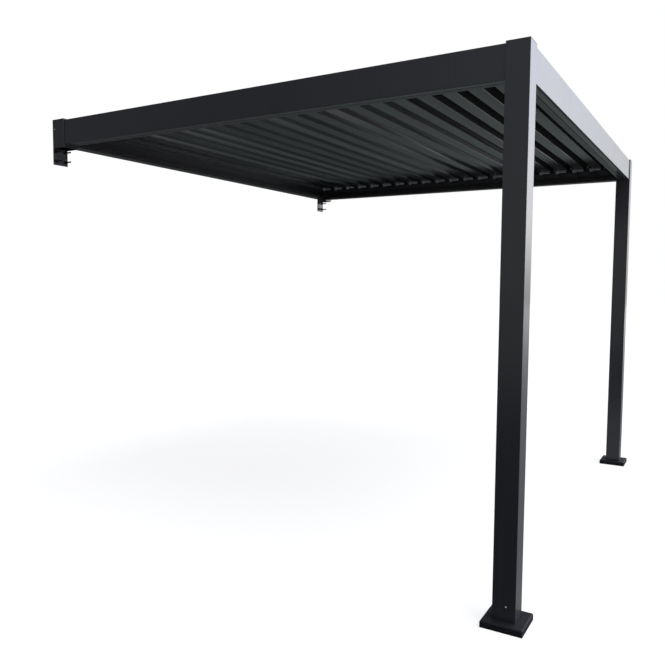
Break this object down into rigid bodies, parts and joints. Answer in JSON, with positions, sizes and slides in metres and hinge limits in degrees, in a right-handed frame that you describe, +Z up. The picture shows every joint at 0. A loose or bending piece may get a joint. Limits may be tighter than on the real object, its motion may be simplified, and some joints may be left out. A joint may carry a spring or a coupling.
{
  "type": "wall-mounted pergola",
  "caption": "Wall-mounted aluminium pergola on two square posts, with a tilting louvre roof, rain gutters and steel wall brackets.",
  "frame": {"origin": "centre of the wall beam's back face, which lies against the wall", "axes": "+X away from the wall towards the posts, +Y along the wall from the near side to the far side, +Z up"},
  "size_m": [3.0425, 3.385, 2.533],
  "materials": {
    "frame_paint": "satin anthracite powder coat",
    "gutter_paint": "satin anthracite powder coat",
    "louvre_paint": "satin anthracite powder coat",
    "bracket_steel": "galvanised steel",
    "rail_aluminium": "satin",
    "link_steel": "black-passivated steel"
  },
  "bodies": {
    "roof_frame": {"near_post": "frame_paint", "far_post": "frame_paint", "near_post_cap": "frame_paint", "far_post_cap": "frame_paint", "near_wall_post": "frame_paint", "far_wall_post": "frame_paint", "near_wall_cap": "frame_paint", "far_wall_cap": "frame_paint", "near_side_beam": "frame_paint", "far_side_beam": "frame_paint", "front_beam": "frame_paint", "wall_beam": "frame_paint", "near_base_cover": "frame_paint", "far_base_cover": "frame_paint", "near_gutter": "gutter_paint", "far_gutter": "gutter_paint", "front_gutter": "gutter_paint", "wall_gutter": "gutter_paint", "front_closing_strip": "gutter_paint", "near_wall_bracket": "bracket_steel", "far_wall_bracket": "bracket_steel", "near_foot_plate": "bracket_steel", "far_foot_plate": "bracket_steel", "near_pivot_rail": "rail_aluminium", "far_pivot_rail": "rail_aluminium"},
    "louvre_01": {"louvre_01": "louvre_paint"},
    "louvre_02": {"louvre_02": "louvre_paint"},
    "louvre_03": {"louvre_03": "louvre_paint"},
    "louvre_04": {"louvre_04": "louvre_paint"},
    "louvre_05": {"louvre_05": "louvre_paint"},
    "louvre_06": {"louvre_06": "louvre_paint"},
    "louvre_07": {"louvre_07": "louvre_paint"},
    "louvre_08": {"louvre_08": "louvre_paint"},
    "louvre_09": {"louvre_09": "louvre_paint"},
    "louvre_10": {"louvre_10": "louvre_paint"},
    "louvre_11": {"louvre_11": "louvre_paint"},
    "louvre_12": {"louvre_12": "louvre_paint"},
    "louvre_13": {"louvre_13": "louvre_paint"},
    "louvre_14": {"louvre_14": "louvre_paint"},
    "louvre_15": {"louvre_15": "louvre_paint"},
    "louvre_16": {"louvre_16": "louvre_paint"},
    "louvre_17": {"louvre_17": "louvre_paint"},
    "louvre_18": {"louvre_18": "louvre_paint"},
    "louvre_19": {"louvre_19": "louvre_paint"},
    "louvre_20": {"louvre_20": "louvre_paint"},
    "link": {"link_bar": "link_steel"}
  },
  "joints": [
    {"name": "louvre_01_tilt", "type": "hinge", "parent": "roof_frame", "child": "louvre_01", "pos_m": [0.13515, 0, 0.05], "axis": [0, -1, 0], "range_deg": [0, 90]},
    {"name": "louvre_02_tilt", "type": "hinge", "parent": "roof_frame", "child": "louvre_02", "pos_m": [0.27345, 0, 0.05], "axis": [0, -1, 0], "range_deg": [0, 90]},
    {"name": "louvre_03_tilt", "type": "hinge", "parent": "roof_frame", "child": "louvre_03", "pos_m": [0.41175, 0, 0.05], "axis": [0, -1, 0], "range_deg": [0, 90]},
    {"name": "louvre_04_tilt", "type": "hinge", "parent": "roof_frame", "child": "louvre_04", "pos_m": [0.55005, 0, 0.05], "axis": [0, -1, 0], "range_deg": [0, 90]},
    {"name": "louvre_05_tilt", "type": "hinge", "parent": "roof_frame", "child": "louvre_05", "pos_m": [0.68835, 0, 0.05], "axis": [0, -1, 0], "range_deg": [0, 90]},
    {"name": "louvre_06_tilt", "type": "hinge", "parent": "roof_frame", "child": "louvre_06", "pos_m": [0.82665, 0, 0.05], "axis": [0, -1, 0], "range_deg": [0, 90]},
    {"name": "louvre_07_tilt", "type": "hinge", "parent": "roof_frame", "child": "louvre_07", "pos_m": [0.96495, 0, 0.05], "axis": [0, -1, 0], "range_deg": [0, 90]},
    {"name": "louvre_08_tilt", "type": "hinge", "parent": "roof_frame", "child": "louvre_08", "pos_m": [1.10325, 0, 0.05], "axis": [0, -1, 0], "range_deg": [0, 90]},
    {"name": "louvre_09_tilt", "type": "hinge", "parent": "roof_frame", "child": "louvre_09", "pos_m": [1.24155, 0, 0.05], "axis": [0, -1, 0], "range_deg": [0, 90]},
    {"name": "louvre_10_tilt", "type": "hinge", "parent": "roof_frame", "child": "louvre_10", "pos_m": [1.37985, 0, 0.05], "axis": [0, -1, 0], "range_deg": [0, 90]},
    {"name": "louvre_11_tilt", "type": "hinge", "parent": "roof_frame", "child": "louvre_11", "pos_m": [1.51815, 0, 0.05], "axis": [0, -1, 0], "range_deg": [0, 90]},
    {"name": "louvre_12_tilt", "type": "hinge", "parent": "roof_frame", "child": "louvre_12", "pos_m": [1.65645, 0, 0.05], "axis": [0, -1, 0], "range_deg": [0, 90]},
    {"name": "louvre_13_tilt", "type": "hinge", "parent": "roof_frame", "child": "louvre_13", "pos_m": [1.79475, 0, 0.05], "axis": [0, -1, 0], "range_deg": [0, 90]},
    {"name": "louvre_14_tilt", "type": "hinge", "parent": "roof_frame", "child": "louvre_14", "pos_m": [1.93305, 0, 0.05], "axis": [0, -1, 0], "range_deg": [0, 90]},
    {"name": "louvre_15_tilt", "type": "hinge", "parent": "roof_frame", "child": "louvre_15", "pos_m": [2.07135, 0, 0.05], "axis": [0, -1, 0], "range_deg": [0, 90]},
    {"name": "louvre_16_tilt", "type": "hinge", "parent": "roof_frame", "child": "louvre_16", "pos_m": [2.20965, 0, 0.05], "axis": [0, -1, 0], "range_deg": [0, 90]},
    {"name": "louvre_17_tilt", "type": "hinge", "parent": "roof_frame", "child": "louvre_17", "pos_m": [2.34795, 0, 0.05], "axis": [0, -1, 0], "range_deg": [0, 90]},
    {"name": "louvre_18_tilt", "type": "hinge", "parent": "roof_frame", "child": "louvre_18", "pos_m": [2.48625, 0, 0.05], "axis": [0, -1, 0], "range_deg": [0, 90]},
    {"name": "louvre_19_tilt", "type": "hinge", "parent": "roof_frame", "child": "louvre_19", "pos_m": [2.62455, 0, 0.05], "axis": [0, -1, 0], "range_deg": [0, 90]},
    {"name": "louvre_20_tilt", "type": "hinge", "parent": "roof_frame", "child": "louvre_20", "pos_m": [2.76285, 0, 0.05], "axis": [0, -1, 0], "range_deg": [0, 90]},
    {"name": "link_swing", "type": "hinge", "parent": "louvre_01", "child": "link", "pos_m": [0.06315, 1.591, 0.028], "axis": [0, -1, 0], "range_deg": [-90, 0]}
  ],
  "couplings": [
    {"joint": "louvre_02_tilt", "follows": "louvre_01_tilt", "ratio": 1},
    {"joint": "louvre_03_tilt", "follows": "louvre_01_tilt", "ratio": 1},
    {"joint": "louvre_04_tilt", "follows": "louvre_01_tilt", "ratio": 1},
    {"joint": "louvre_05_tilt", "follows": "louvre_01_tilt", "ratio": 1},
    {"joint": "louvre_06_tilt", "follows": "louvre_01_tilt", "ratio": 1},
    {"joint": "louvre_07_tilt", "follows": "louvre_01_tilt", "ratio": 1},
    {"joint": "louvre_08_tilt", "follows": "louvre_01_tilt", "ratio": 1},
    {"joint": "louvre_09_tilt", "follows": "louvre_01_tilt", "ratio": 1},
    {"joint": "louvre_10_tilt", "follows": "louvre_01_tilt", "ratio": 1},
    {"joint": "louvre_11_tilt", "follows": "louvre_01_tilt", "ratio": 1},
    {"joint": "louvre_12_tilt", "follows": "louvre_01_tilt", "ratio": 1},
    {"joint": "louvre_13_tilt", "follows": "louvre_01_tilt", "ratio": 1},
    {"joint": "louvre_14_tilt", "follows": "louvre_01_tilt", "ratio": 1},
    {"joint": "louvre_15_tilt", "follows": "louvre_01_tilt", "ratio": 1},
    {"joint": "louvre_16_tilt", "follows": "louvre_01_tilt", "ratio": 1},
    {"joint": "louvre_17_tilt", "follows": "louvre_01_tilt", "ratio": 1},
    {"joint": "louvre_18_tilt", "follows": "louvre_01_tilt", "ratio": 1},
    {"joint": "louvre_19_tilt", "follows": "louvre_01_tilt", "ratio": 1},
    {"joint": "louvre_20_tilt", "follows": "louvre_01_tilt", "ratio": 1},
    {"joint": "link_swing", "follows": "louvre_01_tilt", "ratio": -1}
  ]
}
